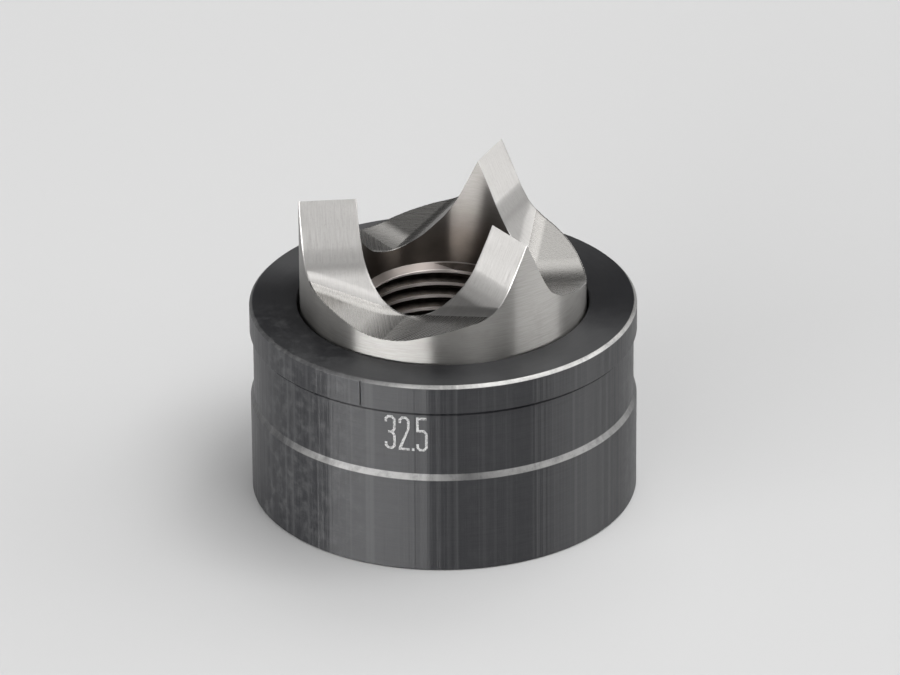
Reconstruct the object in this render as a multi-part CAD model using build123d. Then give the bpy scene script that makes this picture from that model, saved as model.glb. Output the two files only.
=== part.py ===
from build123d import *

import math
import os

# A knockout punch with its die, for cutting a 32.5 mm round hole in sheet metal.
# Millimetres. Z = 0 is the die's base face, and +Z runs up the axis that both pieces share.
# The punch stands in the die's cup, base down, with one of its teeth on the -X side.

# Punch body
PUNCH_DIAMETER = 32.5
SKIRT_HEIGHT = 17.7
PUNCH_BASE_CHAMFER = 0.8

# Crown of cutting teeth
TEETH = 3
TOOTH_HEIGHT = 10.8
STEEP_FLANK_ANGLE = 64.6
STEEP_FLANK_DROP = 6.4
LOWER_FLANK_ANGLE = 47.0
KNEE_RADIUS = 4.5
VALLEY_ANGLE = 16.4
VALLEY_RADIUS = 12.0
VALLEY_SIDE_RADIUS = 2.0

# Draw stud, which screws into the punch: the bore is cut to the thread's minor diameter
STUD_DIAMETER = 19.05
THREAD_DEPTH = 0.775
THREAD_LEAD_IN_HEIGHT = 0.6
THREAD_EXIT_CHAMFER = 0.8
COUNTERBORE_CLEARANCE = 0.125
COUNTERBORE_BELOW_VALLEY = 2.3

# Die cup
DIE_WALL = 5.4
DIE_HEIGHT = 23.2
DIE_FLOOR_THICKNESS = 7.7
DIE_TOP_CHAMFER = 0.35
DIE_BASE_CHAMFER = 0.2
PUNCH_TO_DIE_GAP = 0.35
CUTTING_LAND_HEIGHT = 6.0
CUTTING_EDGE_BREAK = 0.12
CUP_RELIEF = 0.4
STUD_HOLE_CLEARANCE = 0.275
STUD_HOLE_CHAMFER = 0.6

# Shallow band round the die for its size mark
RIM_HEIGHT = 3.4
BAND_HEIGHT = 7.75
BAND_DEPTH = 0.37
BAND_FOOT_HEIGHT = 0.65

# Derived places
PUNCH_RADIUS = PUNCH_DIAMETER / 2
PUNCH_BASE_Z = DIE_FLOOR_THICKNESS
VALLEY_Z = PUNCH_BASE_Z + SKIRT_HEIGHT
TIP_Z = VALLEY_Z + TOOTH_HEIGHT
TOOTH_PITCH = 360 / TEETH
STUD_RADIUS = STUD_DIAMETER / 2
THREAD_RADIUS = STUD_RADIUS - THREAD_DEPTH
COUNTERBORE_RADIUS = STUD_RADIUS + COUNTERBORE_CLEARANCE
COUNTERBORE_FLOOR_Z = VALLEY_Z - COUNTERBORE_BELOW_VALLEY
CUP_RADIUS = PUNCH_RADIUS + PUNCH_TO_DIE_GAP
DIE_RADIUS = CUP_RADIUS + DIE_WALL
STUD_HOLE_RADIUS = STUD_RADIUS + STUD_HOLE_CLEARANCE
BAND_TOP_Z = DIE_HEIGHT - RIM_HEIGHT
BAND_FOOT_Z = BAND_TOP_Z - BAND_HEIGHT

# Overshoot that lets a cutting shape pass right through the blank
OVERSHOOT = 5.0
# Smallest distance that counts as apart
HAIR = 0.02


def slope(angle):
    """Rise over run of a face that leans at this many degrees from level."""
    return math.tan(math.radians(angle))


def turned(outline):
    """Solid of revolution about Z from a closed outline of (radius, height) corners."""
    return revolve(make_face(Plane.XZ * Polyline(*outline, close=True)), Axis.Z)


def section(outline, rounded_corner, radius):
    """Upright closed section in the YZ plane, with one corner rounded."""
    face = make_face(Plane.YZ * Polyline(*outline, close=True))
    corner = Plane.YZ.from_local_coords(Vector(*rounded_corner, 0))
    nearest = face.vertices().sort_by_distance(corner)[0]
    return fillet(nearest, radius)


def space_beside_tooth():
    """Space over one side of a tooth that lies along X: steep flank, rounded knee, lower flank."""
    reach = PUNCH_RADIUS + OVERSHOOT
    knee_y = STEEP_FLANK_DROP / slope(STEEP_FLANK_ANGLE)
    knee_z = TIP_Z - STEEP_FLANK_DROP
    foot_z = VALLEY_Z - OVERSHOOT
    foot_y = knee_y + (knee_z - foot_z) / slope(LOWER_FLANK_ANGLE)
    roof_z = TIP_Z + OVERSHOOT
    outline = [
        (0, TIP_Z),
        (knee_y, knee_z),
        (foot_y, foot_z),
        (foot_y + reach, foot_z),
        (foot_y + reach, roof_z),
        (0, roof_z),
    ]
    return extrude(section(outline, (knee_y, knee_z), KNEE_RADIUS), reach, both=True)


def space_over_valley():
    """Space over the floor of a valley that runs out along +X: a wide V with a rounded bottom."""
    reach = PUNCH_RADIUS + OVERSHOOT
    lean = math.radians(VALLEY_ANGLE)
    bottom_z = VALLEY_Z - VALLEY_RADIUS * (1 / math.cos(lean) - 1)
    side_z = bottom_z + reach * slope(VALLEY_ANGLE)
    roof_z = TIP_Z + OVERSHOOT
    outline = [(0, bottom_z), (reach, side_z), (reach, roof_z), (-reach, roof_z), (-reach, side_z)]
    return extrude(section(outline, (0, bottom_z), VALLEY_RADIUS), reach)


def is_valley_side(edge):
    """True for the edge over the crown wall where a lower flank meets the valley floor."""
    middle = edge @ 0.5
    return middle.X > HAIR and math.hypot(middle.X, middle.Y) < PUNCH_RADIUS


def half_valley_cutter():
    """What is milled away on the -Y side of the valley along +X, beside the tooth there."""
    over_valley = space_over_valley()
    beside_tooth = Rot(0, 0, -TOOTH_PITCH / 2) * space_beside_tooth()
    sharp = over_valley & beside_tooth
    valley_sides = new_edges(over_valley, beside_tooth, combined=sharp).filter_by(is_valley_side)
    rounded = fillet(valley_sides, VALLEY_SIDE_RADIUS)
    return split(rounded, bisect_by=Plane.XZ, keep=Keep.TOP)


def punch_blank():
    """Turned blank of the punch: skirt, tall wall for the teeth, counterbore and tapped bore."""
    return turned([
        (THREAD_RADIUS + THREAD_EXIT_CHAMFER, PUNCH_BASE_Z),
        (PUNCH_RADIUS - PUNCH_BASE_CHAMFER, PUNCH_BASE_Z),
        (PUNCH_RADIUS, PUNCH_BASE_Z + PUNCH_BASE_CHAMFER),
        (PUNCH_RADIUS, TIP_Z),
        (COUNTERBORE_RADIUS, TIP_Z),
        (COUNTERBORE_RADIUS, COUNTERBORE_FLOOR_Z),
        (THREAD_RADIUS, COUNTERBORE_FLOOR_Z - THREAD_LEAD_IN_HEIGHT),
        (THREAD_RADIUS, PUNCH_BASE_Z + THREAD_EXIT_CHAMFER),
    ])


def make_punch():
    """Blank with a valley milled between each two teeth."""
    near_half = half_valley_cutter()
    cutter = near_half + mirror(near_half, about=Plane.XZ)
    punch = punch_blank()
    for place in PolarLocations(0, TEETH):
        punch -= place * cutter
    return punch


def make_die():
    """Turned cup with a clearance hole for the stud in its floor and a shallow band round it."""
    land_bottom_z = DIE_HEIGHT - CUTTING_LAND_HEIGHT
    relief_radius = CUP_RADIUS + CUP_RELIEF
    return turned([
        (STUD_HOLE_RADIUS + STUD_HOLE_CHAMFER, 0),
        (DIE_RADIUS - DIE_BASE_CHAMFER, 0),
        (DIE_RADIUS, DIE_BASE_CHAMFER),
        (DIE_RADIUS, BAND_FOOT_Z - BAND_FOOT_HEIGHT),
        (DIE_RADIUS - BAND_DEPTH, BAND_FOOT_Z),
        (DIE_RADIUS - BAND_DEPTH, BAND_TOP_Z),
        (DIE_RADIUS, BAND_TOP_Z),
        (DIE_RADIUS, DIE_HEIGHT - DIE_TOP_CHAMFER),
        (DIE_RADIUS - DIE_TOP_CHAMFER, DIE_HEIGHT),
        (CUP_RADIUS + CUTTING_EDGE_BREAK, DIE_HEIGHT),
        (CUP_RADIUS, DIE_HEIGHT - CUTTING_EDGE_BREAK),
        (CUP_RADIUS, land_bottom_z),
        (relief_radius, land_bottom_z - CUP_RELIEF),
        (relief_radius, DIE_FLOOR_THICKNESS),
        (STUD_HOLE_RADIUS + STUD_HOLE_CHAMFER, DIE_FLOOR_THICKNESS),
        (STUD_HOLE_RADIUS, DIE_FLOOR_THICKNESS - STUD_HOLE_CHAMFER),
        (STUD_HOLE_RADIUS, STUD_HOLE_CHAMFER),
    ])


os.makedirs("parts", exist_ok=True)
export_step(make_punch(), "parts/punch.step")
export_step(make_die(), "parts/die.step")
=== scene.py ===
import math

import bpy
from mathutils import Matrix, Vector


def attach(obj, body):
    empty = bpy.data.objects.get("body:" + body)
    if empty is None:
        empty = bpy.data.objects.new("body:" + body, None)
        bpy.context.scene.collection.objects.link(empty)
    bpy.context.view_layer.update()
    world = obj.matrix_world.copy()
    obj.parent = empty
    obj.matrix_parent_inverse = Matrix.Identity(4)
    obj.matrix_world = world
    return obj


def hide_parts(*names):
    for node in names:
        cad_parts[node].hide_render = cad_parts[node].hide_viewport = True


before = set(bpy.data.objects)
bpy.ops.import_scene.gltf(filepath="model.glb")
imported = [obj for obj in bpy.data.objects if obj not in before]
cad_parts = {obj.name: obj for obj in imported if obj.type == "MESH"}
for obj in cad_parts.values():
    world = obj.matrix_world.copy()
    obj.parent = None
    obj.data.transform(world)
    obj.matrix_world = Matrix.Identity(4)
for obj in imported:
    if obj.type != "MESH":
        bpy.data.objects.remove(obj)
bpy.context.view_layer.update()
bpy.ops.object.select_all(action="DESELECT")

MM = 0.001
FULL_TURN = math.tau

# Punch, in millimetres
PUNCH_RADIUS = 16.25
PUNCH_BASE_Z = 7.7
PUNCH_BASE_CHAMFER = 0.8
VALLEY_Z = 25.4
TIP_Z = 36.2
TEETH = 3
COUNTERBORE_RADIUS = 9.65
COUNTERBORE_FLOOR_Z = 23.1

# Tooth flanks and the valleys between them
STEEP_FLANK_ANGLE = 64.6
STEEP_FLANK_DROP = 6.4
LOWER_FLANK_ANGLE = 47.0
KNEE_RADIUS = 12.0
VALLEY_ANGLE = 16.4
VALLEY_RADIUS = 12.0
VALLEY_SIDE_ROUNDING = 1.5

# Stud thread
THREAD_MINOR_RADIUS = 8.75
THREAD_MAJOR_RADIUS = 9.525
THREAD_PITCH = 1.5875
THREAD_ROOT_WIDTH = 0.3
THREAD_FLANK_ANGLE = 30.0
THREAD_START_Z = 5.3
THREAD_TURNS = 12
THREAD_OVERCUT = 0.15
THREAD_LEAD_IN_HEIGHT = 0.6
THREAD_EXIT_CHAMFER = 0.8

# Die
DIE_RADIUS = 22.0
DIE_HEIGHT = 23.2
CUP_RADIUS = 16.6
CUTTING_EDGE_BREAK = 0.12
CUTTING_LAND_FOOT_Z = 17.2
CUP_RELIEF_RADIUS = 17.0
CUP_RELIEF_TOP_Z = 16.8
STUD_HOLE_RADIUS = 9.8
STUD_HOLE_CHAMFER = 0.6
BASE_CHAMFER = 0.2
BAND_RADIUS = 21.63
BAND_TOP_Z = 19.8
BAND_FOOT_Z = 12.05
BAND_FOOT_HEIGHT = 0.65
TOP_CHAMFER = 0.35
UNDERCUT_DEPTH = 0.25
UNDERCUT_HEIGHT = 0.42
UNDERCUT_FOOT_HEIGHT = 0.12
CENTRE_MARKS = 2
CENTRE_MARK_TURN = 240
CENTRE_MARK_WIDTH = 0.25
CENTRE_MARK_DEPTH = 0.15
SCRIBER_LENGTH = 8

# Size number on the die's band: plain figures, each an outline of (x, height) corners
NUMBER_TURN = -16.5
NUMBER_FOOT_Z = 14.9
NUMBER_WIDTH = 4.85
NUMBER_HEIGHT = 0.02
NUMBER_ROOT = 0.1
NUMBER_MARGIN = 0.5
NUMBER_REACH = 2
THREE = [
    (0, 3.35), (0, 3.82), (0.36, 4.2), (0.88, 4.2), (1.25, 3.8), (1.25, 2.5), (1.03, 2.15),
    (1.25, 1.8), (1.25, 0.4), (0.88, 0), (0.36, 0), (0, 0.38), (0, 0.85), (0.28, 0.85),
    (0.28, 0.5), (0.47, 0.28), (0.78, 0.28), (0.97, 0.5), (0.97, 1.75), (0.75, 2.01),
    (0.4, 2.01), (0.4, 2.29), (0.75, 2.29), (0.97, 2.55), (0.97, 3.7), (0.78, 3.92),
    (0.47, 3.92), (0.28, 3.7), (0.28, 3.35),
]
TWO = [
    (0, 3.35), (0, 3.82), (0.36, 4.2), (0.88, 4.2), (1.25, 3.8), (1.25, 2.75), (0.33, 0.28),
    (1.25, 0.28), (1.25, 0), (0, 0), (0, 0.3), (0.97, 2.7), (0.97, 3.7), (0.78, 3.92),
    (0.47, 3.92), (0.28, 3.7), (0.28, 3.35),
]
POINT = [(0, 0), (0, 0.34), (0.3, 0.34), (0.3, 0)]
FIVE = [
    (0, 4.2), (1.15, 4.2), (1.15, 3.9), (0.28, 3.9), (0.28, 2.65), (0.88, 2.65), (1.25, 2.25),
    (1.25, 0.4), (0.88, 0), (0.35, 0), (0, 0.38), (0, 0.85), (0.28, 0.85), (0.28, 0.48),
    (0.45, 0.28), (0.78, 0.28), (0.97, 0.5), (0.97, 2.14), (0.78, 2.36), (0, 2.36),
]
NUMBER = [(THREE, 0), (TWO, 1.6), (POINT, 3.08), (FIVE, 3.6)]

# Mesh fineness
STEPS_ROUND = 288
THREAD_STEPS = 120
ROUNDING_STEPS = 24
VALLEY_SIDE_STEPS = 8
EDGE_BREAK = 0.03
EDGE_BREAK_STEPS = 2
SMOOTH_ANGLE = 20
SAME_POINT = 0.0005
SAME_CORNER = 0.01

# A small turn of the blank, so that its facets meet no cutter's edge
BLANK_TURN = 0.4
# Overshoot that lets a cutting shape pass right through the blank
OVERSHOOT = 5.0
# Step between the roofs of two cutting shapes, so that they don't lie in one plane
ROOF_STEP = 1

# Camera, fitted to the photograph: metres and degrees, its lens and sensor in millimetres
CAMERA_PLACE = (-0.0665, -0.7325, 0.3891)
CAMERA_AZIMUTH = -95.19
CAMERA_TURN = -5.246
CAMERA_DIP = 26.76
CAMERA_ROLL = -0.403
LENS_LENGTH = 289.88
SENSOR_WIDTH = 36

# Studio, in metres
TOOL_MIDDLE = (0, 0, 0.018)
FLOOR_RADIUS = 0.8
FLOOR_COLOUR = (0.62, 0.62, 0.62)
HORIZON_LIGHT = 0.62
CEILING_LIGHT = 0.1
LAMP_DISTANCE = 2.5
# Each lamp's degrees right of the camera and above level, width, height and radiance
SOFTBOXES = {
    "left low softbox": (-40, 6, 1.15, 0.22, 19.5),
    "left softbox": (-70, 24, 2.0, 0.4, 0.85),
    "right low softbox": (78, 6, 0.8, 0.22, 6.4),
    "right softbox": (115, 28, 1.1, 0.7, 1.25),
    "front softbox": (10, 42, 0.95, 0.6, 0.93),
    "right top softbox": (64, 65, 0.85, 0.54, 3.65),
    "ceiling softbox": (138, 67, 0.45, 0.36, 1.35),
    "back softbox": (167, 49, 0.78, 0.5, 1.85),
}


def slope(angle):
    """Rise over run of a face that leans at this many degrees from level."""
    return math.tan(math.radians(angle))


def upright(corner):
    """An (x, height) corner in millimetres as a point in the XZ plane, in metres."""
    return Vector((corner[0] * MM, 0, corner[1] * MM))


def use(piece):
    """Makes a piece the only selected and the active one."""
    bpy.ops.object.select_all(action="DESELECT")
    piece.select_set(True)
    bpy.context.view_layer.objects.active = piece


def apply_modifier(piece, kind, **settings):
    """Adds a modifier with these settings and applies it."""
    use(piece)
    modifier = piece.modifiers.new(kind.lower(), kind)
    for setting, value in settings.items():
        setattr(modifier, setting, value)
    bpy.ops.object.modifier_apply(modifier=modifier.name)


def draw_outline(name, corners):
    """Starts a piece as a closed wire through (x, height) corners, left in edit mode."""
    bpy.ops.object.select_all(action="DESELECT")
    bpy.ops.mesh.primitive_plane_add(size=MM, location=upright(corners[0]))
    piece = bpy.context.object
    piece.name = piece.data.name = name
    bpy.ops.object.transform_apply(location=True, rotation=True, scale=True)
    bpy.ops.object.mode_set(mode="EDIT")
    bpy.ops.mesh.merge(type="CENTER")
    for start, end in zip(corners, corners[1:] + corners[:1]):
        step = upright(end) - upright(start)
        bpy.ops.mesh.extrude_vertices_move(TRANSFORM_OT_translate={"value": step})
    merge_all()
    return piece


def merge_all():
    """In edit mode: selects all and merges what lies in one place."""
    bpy.ops.mesh.select_all(action="SELECT")
    bpy.ops.mesh.remove_doubles(threshold=SAME_POINT * MM)


def select_corner(piece, corner):
    """In edit mode: selects only the outline's vertex at a corner."""
    bpy.ops.mesh.select_all(action="DESELECT")
    bpy.ops.object.mode_set(mode="OBJECT")
    for vertex in piece.data.vertices:
        vertex.select = (vertex.co - upright(corner)).length < SAME_CORNER * MM
    bpy.ops.object.mode_set(mode="EDIT")


def turned(name, corners):
    """Turns a closed outline about Z, with its corners broken by a hair."""
    piece = draw_outline(name, corners)
    bpy.ops.mesh.bevel(offset=EDGE_BREAK * MM, segments=EDGE_BREAK_STEPS, affect="VERTICES")
    bpy.ops.mesh.select_all(action="SELECT")
    bpy.ops.mesh.spin(steps=STEPS_ROUND, angle=FULL_TURN, center=(0, 0, 0), axis=(0, 0, 1))
    merge_all()
    bpy.ops.mesh.normals_make_consistent(inside=False)
    bpy.ops.object.mode_set(mode="OBJECT")
    return piece


def stretch_outline(start_y, end_y):
    """In edit mode: makes a closed wire a solid bar along Y, and leaves edit mode."""
    bpy.ops.mesh.select_all(action="SELECT")
    bpy.ops.mesh.edge_face_add()
    bpy.ops.transform.translate(value=(0, start_y * MM, 0))
    bpy.ops.mesh.extrude_region_move(
        TRANSFORM_OT_translate={"value": (0, (end_y - start_y) * MM, 0)})
    bpy.ops.mesh.select_all(action="SELECT")
    bpy.ops.mesh.normals_make_consistent(inside=False)
    bpy.ops.object.mode_set(mode="OBJECT")


def prism(name, corners, rounded_corner, radius, turn_there, start_y, end_y):
    """A bar along Y with this outline across it, and one corner rounded to the radius."""
    piece = draw_outline(name, corners)
    select_corner(piece, rounded_corner)
    reach = radius * slope(turn_there / 2)
    bpy.ops.mesh.bevel(offset=reach * MM, segments=ROUNDING_STEPS, affect="VERTICES")
    stretch_outline(start_y, end_y)
    return piece


def turn_about_axis(piece, degrees):
    """Turns a piece about Z, with the turn put into its mesh."""
    use(piece)
    piece.rotation_euler.z = math.radians(degrees)
    bpy.ops.object.transform_apply(location=True, rotation=True, scale=True)


def combine(piece, tool, operation, keep_tool=False):
    """Cuts a piece with a tool, or keeps what they share. New faces take the tool's material."""
    apply_modifier(piece, "BOOLEAN", operation=operation, solver="EXACT", object=tool,
                   material_mode="TRANSFER")
    if not keep_tool:
        bpy.data.objects.remove(tool)


def smooth(piece):
    """Shades a piece smooth, apart from its sharp edges, and its flats flat."""
    use(piece)
    bpy.ops.object.shade_smooth_by_angle(angle=math.radians(SMOOTH_ANGLE))
    apply_modifier(piece, "WEIGHTED_NORMAL", keep_sharp=True)


def space_over_valley():
    """Space over the floor of a valley that runs out along +Y: a wide V with a round bottom."""
    reach = PUNCH_RADIUS + OVERSHOOT
    lean = math.radians(VALLEY_ANGLE)
    bottom_z = VALLEY_Z - VALLEY_RADIUS * (1 / math.cos(lean) - 1)
    side_z = bottom_z + reach * slope(VALLEY_ANGLE)
    roof_z = TIP_Z + OVERSHOOT
    corners = [
        (0, bottom_z),
        (reach, side_z),
        (reach, roof_z),
        (-reach, roof_z),
        (-reach, side_z),
    ]
    return prism("over_valley", corners, corners[0], VALLEY_RADIUS, 2 * VALLEY_ANGLE, 0, reach)


def space_beside_tooth():
    """Space beside a tooth that lies along Y, on its -X side."""
    reach = PUNCH_RADIUS + OVERSHOOT
    knee_x = -STEEP_FLANK_DROP / slope(STEEP_FLANK_ANGLE)
    knee_z = TIP_Z - STEEP_FLANK_DROP
    foot_z = VALLEY_Z - OVERSHOOT
    foot_x = knee_x - (knee_z - foot_z) / slope(LOWER_FLANK_ANGLE)
    roof_z = TIP_Z + OVERSHOOT + ROOF_STEP
    corners = [
        (0, TIP_Z),
        (knee_x, knee_z),
        (foot_x, foot_z),
        (foot_x - reach, foot_z),
        (foot_x - reach, roof_z),
        (0, roof_z),
    ]
    bend = STEEP_FLANK_ANGLE - LOWER_FLANK_ANGLE
    return prism("beside_tooth", corners, corners[1], KNEE_RADIUS, bend, -reach, reach)


def is_floor(normal):
    """True for a face over the valley floor, which leans to its sides alone and nearly level."""
    return abs(normal.y) < 0.001 and normal.z < -0.9


def is_lower_flank(normal):
    """True for a face over a lower flank, which leans along the valley too, and steeply."""
    return abs(normal.y) > 0.1 and -0.8 < normal.z < -0.6


def round_valley_sides(cutter):
    """Rounds the edges where the cutter's valley floor meets the lower flanks of the teeth."""
    mesh = cutter.data
    faces_at = {}
    for face in mesh.polygons:
        for key in face.edge_keys:
            faces_at.setdefault(key, []).append(face.normal)
    use(cutter)
    bpy.ops.object.mode_set(mode="EDIT")
    bpy.ops.mesh.select_all(action="DESELECT")
    bpy.ops.object.mode_set(mode="OBJECT")
    for edge in mesh.edges:
        normals = faces_at[edge.key]
        floors = [normal for normal in normals if is_floor(normal)]
        flanks = [normal for normal in normals if is_lower_flank(normal)]
        edge.select = len(floors) == 1 and len(flanks) == 1
    bpy.ops.object.mode_set(mode="EDIT")
    bpy.ops.mesh.select_mode(type="EDGE")
    bpy.ops.mesh.bevel(offset=VALLEY_SIDE_ROUNDING * MM, segments=VALLEY_SIDE_STEPS,
                       affect="EDGES")
    bpy.ops.mesh.select_mode(type="VERT")
    bpy.ops.object.mode_set(mode="OBJECT")


def valley_cutter():
    """All that is milled away between two neighbouring teeth, for the valley along +X."""
    cutter = space_over_valley()
    cutter.data.materials.append(valley_steel)
    beside = space_beside_tooth()
    beside.data.materials.append(flank_steel)
    turn_about_axis(beside, -180 / TEETH)
    combine(cutter, beside, "INTERSECT", keep_tool=True)
    turn_about_axis(beside, 180 + 360 / TEETH)
    combine(cutter, beside, "INTERSECT")
    round_valley_sides(cutter)
    turn_about_axis(cutter, -90)
    return cutter


def thread_groove():
    """The helical space between the thread's crests, as a tool to cut it with."""
    half_root = THREAD_ROOT_WIDTH / 2
    inner_radius = THREAD_MINOR_RADIUS - THREAD_OVERCUT
    depth = THREAD_MAJOR_RADIUS - inner_radius
    half_mouth = half_root + depth * slope(THREAD_FLANK_ANGLE)
    corners = [
        (inner_radius, THREAD_START_Z - half_mouth),
        (THREAD_MAJOR_RADIUS, THREAD_START_Z - half_root),
        (THREAD_MAJOR_RADIUS, THREAD_START_Z + half_root),
        (inner_radius, THREAD_START_Z + half_mouth),
    ]
    groove = draw_outline("groove", corners)
    bpy.ops.object.mode_set(mode="OBJECT")
    apply_modifier(groove, "SCREW", angle=FULL_TURN, screw_offset=THREAD_PITCH * MM,
                   iterations=THREAD_TURNS, steps=THREAD_STEPS, render_steps=THREAD_STEPS)
    bpy.ops.object.mode_set(mode="EDIT")
    bpy.ops.mesh.select_all(action="SELECT")
    bpy.ops.mesh.fill_holes(sides=0)
    bpy.ops.mesh.select_all(action="SELECT")
    bpy.ops.mesh.normals_make_consistent(inside=False)
    bpy.ops.object.mode_set(mode="OBJECT")
    return groove


def make_punch():
    """Turned and tapped ring with a valley milled between each two teeth."""
    punch = turned("ground_punch", [
        (THREAD_MINOR_RADIUS + THREAD_EXIT_CHAMFER, PUNCH_BASE_Z),
        (PUNCH_RADIUS - PUNCH_BASE_CHAMFER, PUNCH_BASE_Z),
        (PUNCH_RADIUS, PUNCH_BASE_Z + PUNCH_BASE_CHAMFER),
        (PUNCH_RADIUS, TIP_Z),
        (COUNTERBORE_RADIUS, TIP_Z),
        (COUNTERBORE_RADIUS, COUNTERBORE_FLOOR_Z),
        (THREAD_MINOR_RADIUS, COUNTERBORE_FLOOR_Z - THREAD_LEAD_IN_HEIGHT),
        (THREAD_MINOR_RADIUS, PUNCH_BASE_Z + THREAD_EXIT_CHAMFER),
    ])
    turn_about_axis(punch, BLANK_TURN)
    punch.data.materials.append(turned_steel)
    cutter = valley_cutter()
    for valley in range(TEETH):
        combine(punch, cutter, "DIFFERENCE", keep_tool=True)
        turn_about_axis(cutter, 360 / TEETH)
    bpy.data.objects.remove(cutter)
    groove = thread_groove()
    groove.data.materials.append(thread_steel)
    combine(punch, groove, "DIFFERENCE")
    smooth(punch)
    return punch


def cut_centre_marks(die):
    """Scribed lines across the rim, half a turn apart, for lining the die up."""
    for mark in range(CENTRE_MARKS):
        bpy.ops.mesh.primitive_cube_add(size=MM, location=(DIE_RADIUS * MM, 0, DIE_HEIGHT * MM))
        scriber = bpy.context.object
        scriber.scale = (2 * CENTRE_MARK_DEPTH, CENTRE_MARK_WIDTH, SCRIBER_LENGTH)
        bpy.ops.object.transform_apply(location=True, rotation=True, scale=True)
        turn_about_axis(scriber, CENTRE_MARK_TURN + mark * 360 / CENTRE_MARKS)
        combine(die, scriber, "DIFFERENCE")


def make_die():
    """The cup that the punch stands in, with its cutting hole, stud hole and marking band."""
    undercut_radius = BAND_RADIUS - UNDERCUT_DEPTH
    die = turned("oxide_die", [
        (STUD_HOLE_RADIUS + STUD_HOLE_CHAMFER, 0),
        (DIE_RADIUS - BASE_CHAMFER, 0),
        (DIE_RADIUS, BASE_CHAMFER),
        (DIE_RADIUS, BAND_FOOT_Z - BAND_FOOT_HEIGHT),
        (BAND_RADIUS, BAND_FOOT_Z),
        (BAND_RADIUS, BAND_TOP_Z - UNDERCUT_HEIGHT),
        (undercut_radius, BAND_TOP_Z - UNDERCUT_HEIGHT + UNDERCUT_FOOT_HEIGHT),
        (undercut_radius, BAND_TOP_Z),
        (DIE_RADIUS, BAND_TOP_Z),
        (DIE_RADIUS, DIE_HEIGHT - TOP_CHAMFER),
        (DIE_RADIUS - TOP_CHAMFER, DIE_HEIGHT),
        (CUP_RADIUS + CUTTING_EDGE_BREAK, DIE_HEIGHT),
        (CUP_RADIUS, DIE_HEIGHT - CUTTING_EDGE_BREAK),
        (CUP_RADIUS, CUTTING_LAND_FOOT_Z),
        (CUP_RELIEF_RADIUS, CUP_RELIEF_TOP_Z),
        (CUP_RELIEF_RADIUS, PUNCH_BASE_Z),
        (STUD_HOLE_RADIUS + STUD_HOLE_CHAMFER, PUNCH_BASE_Z),
        (STUD_HOLE_RADIUS, PUNCH_BASE_Z - STUD_HOLE_CHAMFER),
        (STUD_HOLE_RADIUS, STUD_HOLE_CHAMFER),
    ])
    die.data.materials.append(oxide)
    cut_centre_marks(die)
    smooth(die)
    return die


def draw_number():
    """The size in figures, deep enough to pass through the die's wall."""
    figures = []
    for corners, left in NUMBER:
        placed = [(x + left - NUMBER_WIDTH / 2, z + NUMBER_FOOT_Z) for x, z in corners]
        figures.append(draw_outline("figure", placed))
        stretch_outline(-BAND_RADIUS - NUMBER_REACH, -BAND_RADIUS + NUMBER_REACH)
    use(figures[0])
    for figure in figures:
        figure.select_set(True)
    bpy.ops.object.join()
    turn_about_axis(figures[0], NUMBER_TURN)
    return figures[0]


def make_size_number():
    """The hole's size in figures, standing a hair proud of the marking band."""
    number = turned("size_number", [
        (BAND_RADIUS - NUMBER_ROOT, BAND_FOOT_Z + NUMBER_MARGIN),
        (BAND_RADIUS + NUMBER_HEIGHT, BAND_FOOT_Z + NUMBER_MARGIN),
        (BAND_RADIUS + NUMBER_HEIGHT, BAND_TOP_Z - NUMBER_MARGIN),
        (BAND_RADIUS - NUMBER_ROOT, BAND_TOP_Z - NUMBER_MARGIN),
    ])
    combine(number, draw_number(), "INTERSECT")
    number.data.materials.clear()
    number.data.materials.append(etched_steel)
    smooth(number)
    return number


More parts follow.
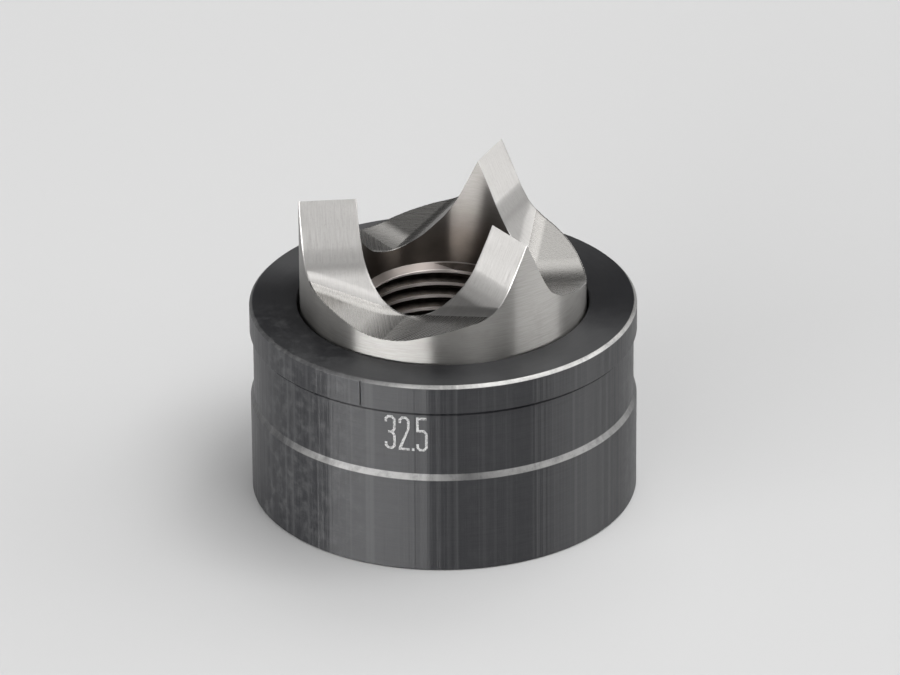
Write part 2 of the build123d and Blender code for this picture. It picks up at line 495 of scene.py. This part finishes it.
class Finish:
    """A metal's material, with the places on the tool that its patterns are drawn on."""

    def __init__(self, name, colour, roughness, metallic, anisotropic):
        self.material = bpy.data.materials.new(name)
        self.material.use_nodes = True
        self.tree = self.material.node_tree
        self.shader = self.tree.nodes["Principled BSDF"]
        self.shader.inputs["Base Color"].default_value = (*colour, 1)
        self.shader.inputs["Roughness"].default_value = roughness
        self.shader.inputs["Metallic"].default_value = metallic
        self.shader.inputs["Anisotropic"].default_value = anisotropic
        metres = self.add("TexCoord").outputs["Object"]
        self.place = self.vector("MULTIPLY", metres, (1 / MM, 1 / MM, 1 / MM))
        across = self.vector("MULTIPLY", self.place, (1, 1, 0))
        self.outward = self.vector("NORMALIZE", across)
        self.radius = self.add("VectorMath", {0: across}, operation="LENGTH").outputs["Value"]
        self.height = self.add("SeparateXYZ", {0: self.place}).outputs["Z"]

    def add(self, kind, inputs=None, **settings):
        """Adds a shader node with these settings, and links or sets its inputs."""
        node = self.tree.nodes.new("ShaderNode" + kind)
        for setting, value in settings.items():
            setattr(node, setting, value)
        for socket, value in (inputs or {}).items():
            if isinstance(value, bpy.types.NodeSocket):
                self.tree.links.new(value, node.inputs[socket])
            else:
                node.inputs[socket].default_value = value
        return node

    def vector(self, operation, first, second=(0, 0, 0)):
        """The vector that a sum on one or two vectors gives."""
        return self.add("VectorMath", {0: first, 1: second}, operation=operation).outputs[0]

    def number(self, operation, first, second=0.0):
        """The number that a sum on one or two numbers gives."""
        return self.add("Math", {0: first, 1: second}, operation=operation).outputs[0]

    def scaled(self, value, low, high, new_low=0.0, new_high=1.0):
        """A value moved from one range to another, smoothly and held at its ends."""
        return self.add("MapRange", {0: value, 1: low, 2: high, 3: new_low, 4: new_high},
                        interpolation_type="SMOOTHSTEP").outputs[0]

    def zone(self, value, low, high, fade):
        """1 where a value lies between two limits and 0 elsewhere, with soft ends."""
        above = self.scaled(value, low - fade, low + fade)
        below = self.scaled(value, high + fade, high - fade)
        return self.number("MULTIPLY", above, below)

    def facing(self, azimuth, low, high, least=0.0):
        """1 on the side towards an azimuth in degrees, falling off round the axis."""
        turn = math.radians(azimuth)
        towards = self.add("VectorMath", {0: self.outward, 1: (math.cos(turn), math.sin(turn), 0)},
                           operation="DOT_PRODUCT").outputs["Value"]
        return self.scaled(towards, low, high, least, 1.0)

    def blend(self, share, first, second):
        """Two colours mixed by a share from 0 to 1."""
        mix = self.add("Mix", data_type="RGBA")
        for socket, value in ((0, share), (6, first), (7, second)):
            if isinstance(value, bpy.types.NodeSocket):
                self.tree.links.new(value, mix.inputs[socket])
            elif socket:
                mix.inputs[socket].default_value = (*value, 1)
            else:
                mix.inputs[socket].default_value = value
        return mix.outputs[2]

    def noise(self, place, scale, detail, roughness):
        """An uneven pattern from 0 to 1, with this many waves to the millimetre."""
        return self.add("TexNoise", {
            "Vector": place,
            "Scale": scale,
            "Detail": detail,
            "Roughness": roughness,
        }).outputs["Fac"]

    def wound_place(self, width):
        """A place that changes fast up and out, and slowly round the axis."""
        around = self.add("SeparateXYZ", {0: self.round_place(width)})
        rise = self.number("ADD", self.height, self.number("MULTIPLY", self.radius, 0.8))
        return self.add("CombineXYZ", {"X": around.outputs["X"], "Y": around.outputs["Y"],
                                       "Z": rise}).outputs[0]

    def round_place(self, radius):
        """A place that changes round the axis only."""
        return self.vector("MULTIPLY", self.outward, (radius, radius, 0))

    def raise_bumps(self, *layers):
        """Bumps of these (height pattern, size in millimetres) over the whole surface."""
        normal = None
        for pattern, size in layers:
            inputs = {"Height": pattern, "Distance": size * MM}
            if normal:
                inputs["Normal"] = normal
            normal = self.add("Bump", inputs).outputs[0]
        self.link(normal, "Normal")

    def link(self, value, socket):
        """Joins a pattern to one of the shader's sockets."""
        self.tree.links.new(value, self.shader.inputs[socket])

    def spread_light_across_turning(self):
        """Points the gloss across the fine lines left by turning: up a wall, out on a face."""
        spread = self.vector("SUBTRACT", self.outward, (0, 0, 1))
        world = self.add("VectorTransform", {0: spread}, vector_type="VECTOR",
                         convert_from="OBJECT", convert_to="WORLD").outputs[0]
        self.link(world, "Tangent")

    def nearest_tooth(self):
        """The radial direction of the nearest tooth, as its cosine and sine."""
        parts = self.add("SeparateXYZ", {0: self.place})
        angle = self.number("ARCTAN2", parts.outputs["Y"], parts.outputs["X"])
        pitch = FULL_TURN / TEETH
        count = self.number("DIVIDE", self.number("SUBTRACT", angle, pitch / 2), pitch)
        whole = self.number("MULTIPLY", self.number("ROUND", count), pitch)
        tooth = self.number("ADD", whole, pitch / 2)
        return self.number("COSINE", tooth), self.number("SINE", tooth)


def make_turned_steel():
    """Bright turned tool steel, with fine rings, a brown wall inside the crown darkened as painted
    shade, and thread crests lightened as a painted highlight.
    """
    steel = Finish("turned_steel", (0.355, 0.343, 0.33), 0.37, 1, 1.0)
    lines = steel.noise(steel.wound_place(0.5), 12.0, 3.0, 0.7)
    stains = steel.noise(steel.place, 0.25, 5.0, 0.6)
    inside = steel.scaled(steel.radius, 12.0, COUNTERBORE_RADIUS + 0.15)
    above_floor = steel.scaled(steel.height, COUNTERBORE_FLOOR_Z - 0.05, COUNTERBORE_FLOOR_Z + 0.05)
    below_floor = steel.scaled(steel.height, COUNTERBORE_FLOOR_Z + 0.01, COUNTERBORE_FLOOR_Z - 0.03)
    thread_z = COUNTERBORE_FLOOR_Z - THREAD_LEAD_IN_HEIGHT
    above_thread = steel.scaled(steel.height, thread_z, thread_z + 0.06, 0, 0.95)
    inner_wall = steel.number("MULTIPLY", inside, above_floor)
    bright = steel.blend(steel.scaled(lines, 0.3, 0.7),
                         (0.295, 0.287, 0.275), (0.366, 0.358, 0.345))
    stained = steel.blend(steel.scaled(stains, 0.5, 0.8, 0, 0.4), bright, (0.205, 0.193, 0.177))
    # The wall inside the crown is darkened as painted shade, darkest deep down and fading towards
    # the tips, with uneven brown stains.
    shaded_wall = steel.blend(stains, (0.045, 0.036, 0.03), (0.15, 0.125, 0.107))
    wall_shade = steel.number("MULTIPLY", inner_wall, steel.scaled(steel.height, 25.0, 34.0, 0.97, 0.3))
    walled = steel.blend(wall_shade, stained, shaded_wall)
    # The thread's crests are lightened to near white as a painted highlight.
    tapped = steel.number("MULTIPLY", inside, below_floor)
    crest_highlighted = steel.blend(tapped, walled, (0.85, 0.78, 0.74))
    lead_in = steel.number("MULTIPLY", tapped, above_thread)
    steel.link(steel.blend(lead_in, crest_highlighted, (0.3, 0.265, 0.245)), "Base Color")
    steel.link(steel.scaled(lines, 0.2, 0.8, 0.34, 0.4), "Roughness")
    steel.raise_bumps((lines, 0.0006))
    steel.spread_light_across_turning()
    return steel.material


def make_milled_steel(name, bright, dark, roughness, grain, speckle):
    """Speckled steel, its fine lines square to the way that the nearest tooth points."""
    steel = Finish(name, bright, roughness, 1, grain)
    cosine, sine = steel.nearest_tooth()
    direction = steel.add("CombineXYZ", {"X": cosine, "Y": sine, "Z": 0.0}).outputs[0]
    reach = steel.add("VectorMath", {0: steel.place, 1: direction},
                      operation="DOT_PRODUCT").outputs["Value"]
    down = steel.number("MULTIPLY", steel.height, 0.06)
    strokes = steel.add("CombineXYZ", {"X": reach, "Y": down, "Z": 0.0}).outputs[0]
    lines = steel.noise(strokes, 7.0, 4.0, 0.7)
    specks = steel.noise(steel.place, 4.0, 4.0, 0.7)
    lined = steel.blend(steel.scaled(lines, 0.3, 0.7), dark, bright)
    # A darker streaked band at the knee's height.
    knee_z = TIP_Z - STEEP_FLANK_DROP
    knee_band = steel.number("MULTIPLY", steel.zone(steel.height, knee_z - 0.6, knee_z, 0.3),
                           steel.scaled(lines, 0.4, 0.6, 0.05, 0.3))
    ground = steel.blend(knee_band, lined, (0.19, 0.183, 0.177))
    speckled = steel.scaled(specks, 0.5, 0.75, 0, speckle)
    steel.link(steel.blend(speckled, ground, (0.19, 0.177, 0.165)), "Base Color")
    steel.link(steel.scaled(lines, 0.2, 0.8, roughness - 0.04, roughness + 0.04), "Roughness")
    outer_edge = steel.scaled(steel.radius, PUNCH_RADIUS - 0.16, PUNCH_RADIUS)
    inner_edge = steel.scaled(steel.radius, COUNTERBORE_RADIUS + 0.16, COUNTERBORE_RADIUS)
    dropped = steel.number("SUBTRACT", 1.0, steel.number("MAXIMUM", outer_edge, inner_edge))
    steel.raise_bumps((lines, 0.0013 * grain), (specks, 0.003 * speckle), (dropped, 0.06))
    steel.link(direction, "Tangent")
    return steel.material


def make_thread_steel():
    """The sides and roots of the thread, brown with old oil."""
    steel = Finish("thread_steel", (0.106, 0.091, 0.08), 0.34, 1, 0.0)
    stains = steel.noise(steel.place, 1.2, 4.0, 0.6)
    steel.link(steel.blend(stains, (0.06, 0.05, 0.042), (0.177, 0.153, 0.136)), "Base Color")
    steel.link(steel.scaled(stains, 0.3, 0.7, 0.28, 0.4), "Roughness")
    steel.raise_bumps((steel.noise(steel.wound_place(0.6), 9.0, 3.0, 0.7), 0.001))
    return steel.material


def make_black_oxide():
    """Black oxide on turned steel: blue-grey, mottled on one side, and rubbed on its edges, which
    also carry painted highlights on the sides where light falls.
    """
    oxide = Finish("black_oxide", (0.01, 0.0105, 0.014), 0.37, 0, 1.0)
    oxide.shader.inputs["IOR"].default_value = 1.56
    lines = oxide.noise(oxide.wound_place(0.5), 8.0, 3.0, 0.7)
    mottle = oxide.noise(oxide.place, 0.8, 7.0, 0.7)
    ripples = oxide.noise(oxide.round_place(DIE_RADIUS), 1.1, 3.0, 0.6)
    below_top = oxide.scaled(oxide.height, DIE_HEIGHT - 0.01, DIE_HEIGHT - 0.1)
    wall_ripples = oxide.number("MULTIPLY", ripples, below_top)
    handled = oxide.facing(-152, 0.78, 1.0, 0.15)
    pale = oxide.number("MULTIPLY", oxide.scaled(mottle, 0.42, 0.75), handled)
    dark = oxide.blend(oxide.scaled(lines, 0.3, 0.7),
                       (0.006, 0.0062, 0.008), (0.012, 0.0122, 0.014))
    streaked = oxide.blend(oxide.scaled(wall_ripples, 0.5, 0.7, 0, 0.5),
                           dark, (0.045, 0.0455, 0.047))
    mottled = oxide.blend(pale, streaked, (0.044, 0.0445, 0.046))
    edge_z = DIE_HEIGHT - TOP_CHAMFER
    edge_radius = DIE_RADIUS - TOP_CHAMFER
    top_edge = oxide.number("MULTIPLY",
                            oxide.scaled(oxide.height, edge_z - 0.03, edge_z + 0.03),
                            oxide.scaled(oxide.radius, edge_radius - 0.03, edge_radius + 0.02))
    # Top edge: bare steel, a little all round as wear, and strongest on one side as a painted
    # highlight.
    top_highlight_side = oxide.facing(-50, 0.25, 0.85, 0.06)
    # Band's foot chamfer: bare steel on two sides as painted highlights, with uneven wear.
    foot_edge = oxide.zone(oxide.height, BAND_FOOT_Z - BAND_FOOT_HEIGHT, BAND_FOOT_Z, 0.04)
    foot_highlight_sides = oxide.number("MAXIMUM", oxide.facing(-118, 0.84, 0.97, 0.15),
                               oxide.facing(-50, 0.75, 0.95, 0.15))
    worn_and_highlit_top = oxide.number("MULTIPLY", top_edge, top_highlight_side)
    worn_and_highlit_foot = oxide.number("MULTIPLY", oxide.number("MULTIPLY", foot_edge, 0.42), foot_highlight_sides)
    edges = oxide.number("MAXIMUM", worn_and_highlit_top, worn_and_highlit_foot)
    # Uneven wear mixed with the painted highlights of both edges, as bare bright steel.
    wear_and_highlight = oxide.number("MULTIPLY", edges, oxide.scaled(mottle, 0.25, 0.6, 0.5, 1.0))
    oxide.link(oxide.blend(wear_and_highlight, mottled, (0.53, 0.525, 0.513)), "Base Color")
    oxide.link(wear_and_highlight, "Metallic")
    oxide.link(oxide.scaled(mottle, 0.35, 0.75, 0.35, 0.43), "Roughness")
    oxide.raise_bumps((wall_ripples, 0.07), (lines, 0.0006))
    oxide.spread_light_across_turning()
    return oxide.material


def make_etched_steel():
    """Steel laid bare where the size is etched through the oxide."""
    etched = Finish("etched_steel", (0.4, 0.4, 0.39), 0.6, 0.5, 0.0)
    specks = etched.noise(etched.place, 5.0, 4.0, 0.7)
    grey = etched.blend(etched.scaled(specks, 0.35, 0.6), (0.14, 0.14, 0.14), (0.42, 0.42, 0.415))
    etched.link(grey, "Base Color")
    etched.raise_bumps((specks, 0.01))
    return etched.material


def aim(azimuth, elevation):
    """Direction from the tool towards a place, by degrees right of the camera and above level."""
    turn = math.radians(azimuth + CAMERA_AZIMUTH)
    rise = math.radians(elevation)
    level = math.cos(rise)
    return Vector((math.cos(turn) * level, math.sin(turn) * level, math.sin(rise)))


def make_softbox(name, azimuth, elevation, width, height, radiance):
    """An even rectangle of light, its width and height given for one metre of distance."""
    light = bpy.data.lights.new(name, "AREA")
    light.shape = "RECTANGLE"
    light.size = width * LAMP_DISTANCE
    light.size_y = height * LAMP_DISTANCE
    light.energy = radiance * light.size * light.size_y * math.pi
    lamp = bpy.data.objects.new(name, light)
    direction = aim(azimuth, elevation)
    lamp.location = direction * LAMP_DISTANCE + Vector(TOOL_MIDDLE)
    lamp.rotation_euler = direction.to_track_quat("Z", "Y").to_euler()
    lamp.visible_camera = False
    bpy.context.scene.collection.objects.link(lamp)


def make_camera():
    """The photograph's long lens, from the front and above."""
    data = bpy.data.cameras.new("camera")
    data.sensor_width = SENSOR_WIDTH
    data.lens = LENS_LENGTH
    camera = bpy.data.objects.new("camera", data)
    turn = Matrix.Rotation(math.radians(CAMERA_TURN), 4, "Z")
    tilt = Matrix.Rotation(math.radians(90 - CAMERA_DIP), 4, "X")
    roll = Matrix.Rotation(math.radians(CAMERA_ROLL), 4, "Z")
    camera.matrix_world = Matrix.Translation(CAMERA_PLACE) @ turn @ tilt @ roll
    bpy.context.scene.collection.objects.link(camera)
    bpy.context.scene.camera = camera


def make_floor():
    """A wide disc of matt paper under the tool."""
    bpy.ops.mesh.primitive_circle_add(vertices=96, radius=FLOOR_RADIUS, fill_type="NGON",
                                      location=(0, 0, 0))
    floor = bpy.context.object
    floor.name = "floor"
    floor.data.materials.append(Finish("pale_floor", FLOOR_COLOUR, 0.9, 0, 0).material)


def make_world():
    """A pale band at the horizon, and a dim ceiling over it."""
    world = bpy.data.worlds.new("studio")
    bpy.context.scene.world = world
    world.use_nodes = True
    nodes, links = world.node_tree.nodes, world.node_tree.links
    direction = nodes.new("ShaderNodeTexCoord").outputs["Generated"]
    rise = nodes.new("ShaderNodeSeparateXYZ")
    links.new(direction, rise.inputs[0])
    fade = nodes.new("ShaderNodeMapRange")
    fade.interpolation_type = "SMOOTHSTEP"
    fade.inputs["From Min"].default_value = 0.08
    fade.inputs["From Max"].default_value = 0.2
    fade.inputs["To Min"].default_value = HORIZON_LIGHT
    fade.inputs["To Max"].default_value = CEILING_LIGHT
    links.new(rise.outputs["Z"], fade.inputs["Value"])
    links.new(fade.outputs[0], nodes["Background"].inputs["Color"])


turned_steel = make_turned_steel()
flank_steel = make_milled_steel("flank_steel", bright=(0.448, 0.439, 0.427),
                                dark=(0.378, 0.368, 0.358), roughness=0.38, grain=0.9, speckle=0.2)
valley_steel = make_milled_steel("valley_steel", bright=(0.354, 0.345, 0.33),
                                 dark=(0.295, 0.287, 0.274), roughness=0.27, grain=0.4, speckle=0.5)
thread_steel = make_thread_steel()
oxide = make_black_oxide()
etched_steel = make_etched_steel()

die = make_die()
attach(die, "die")
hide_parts("die")

size_number = make_size_number()
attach(size_number, "die")

punch = make_punch()
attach(punch, "punch")
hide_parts("punch")

make_floor()
make_world()
make_camera()
for lamp_name, settings in SOFTBOXES.items():
    make_softbox(lamp_name, *settings)

bpy.context.scene.view_settings.view_transform = "Standard"
bpy.context.view_layer.update()
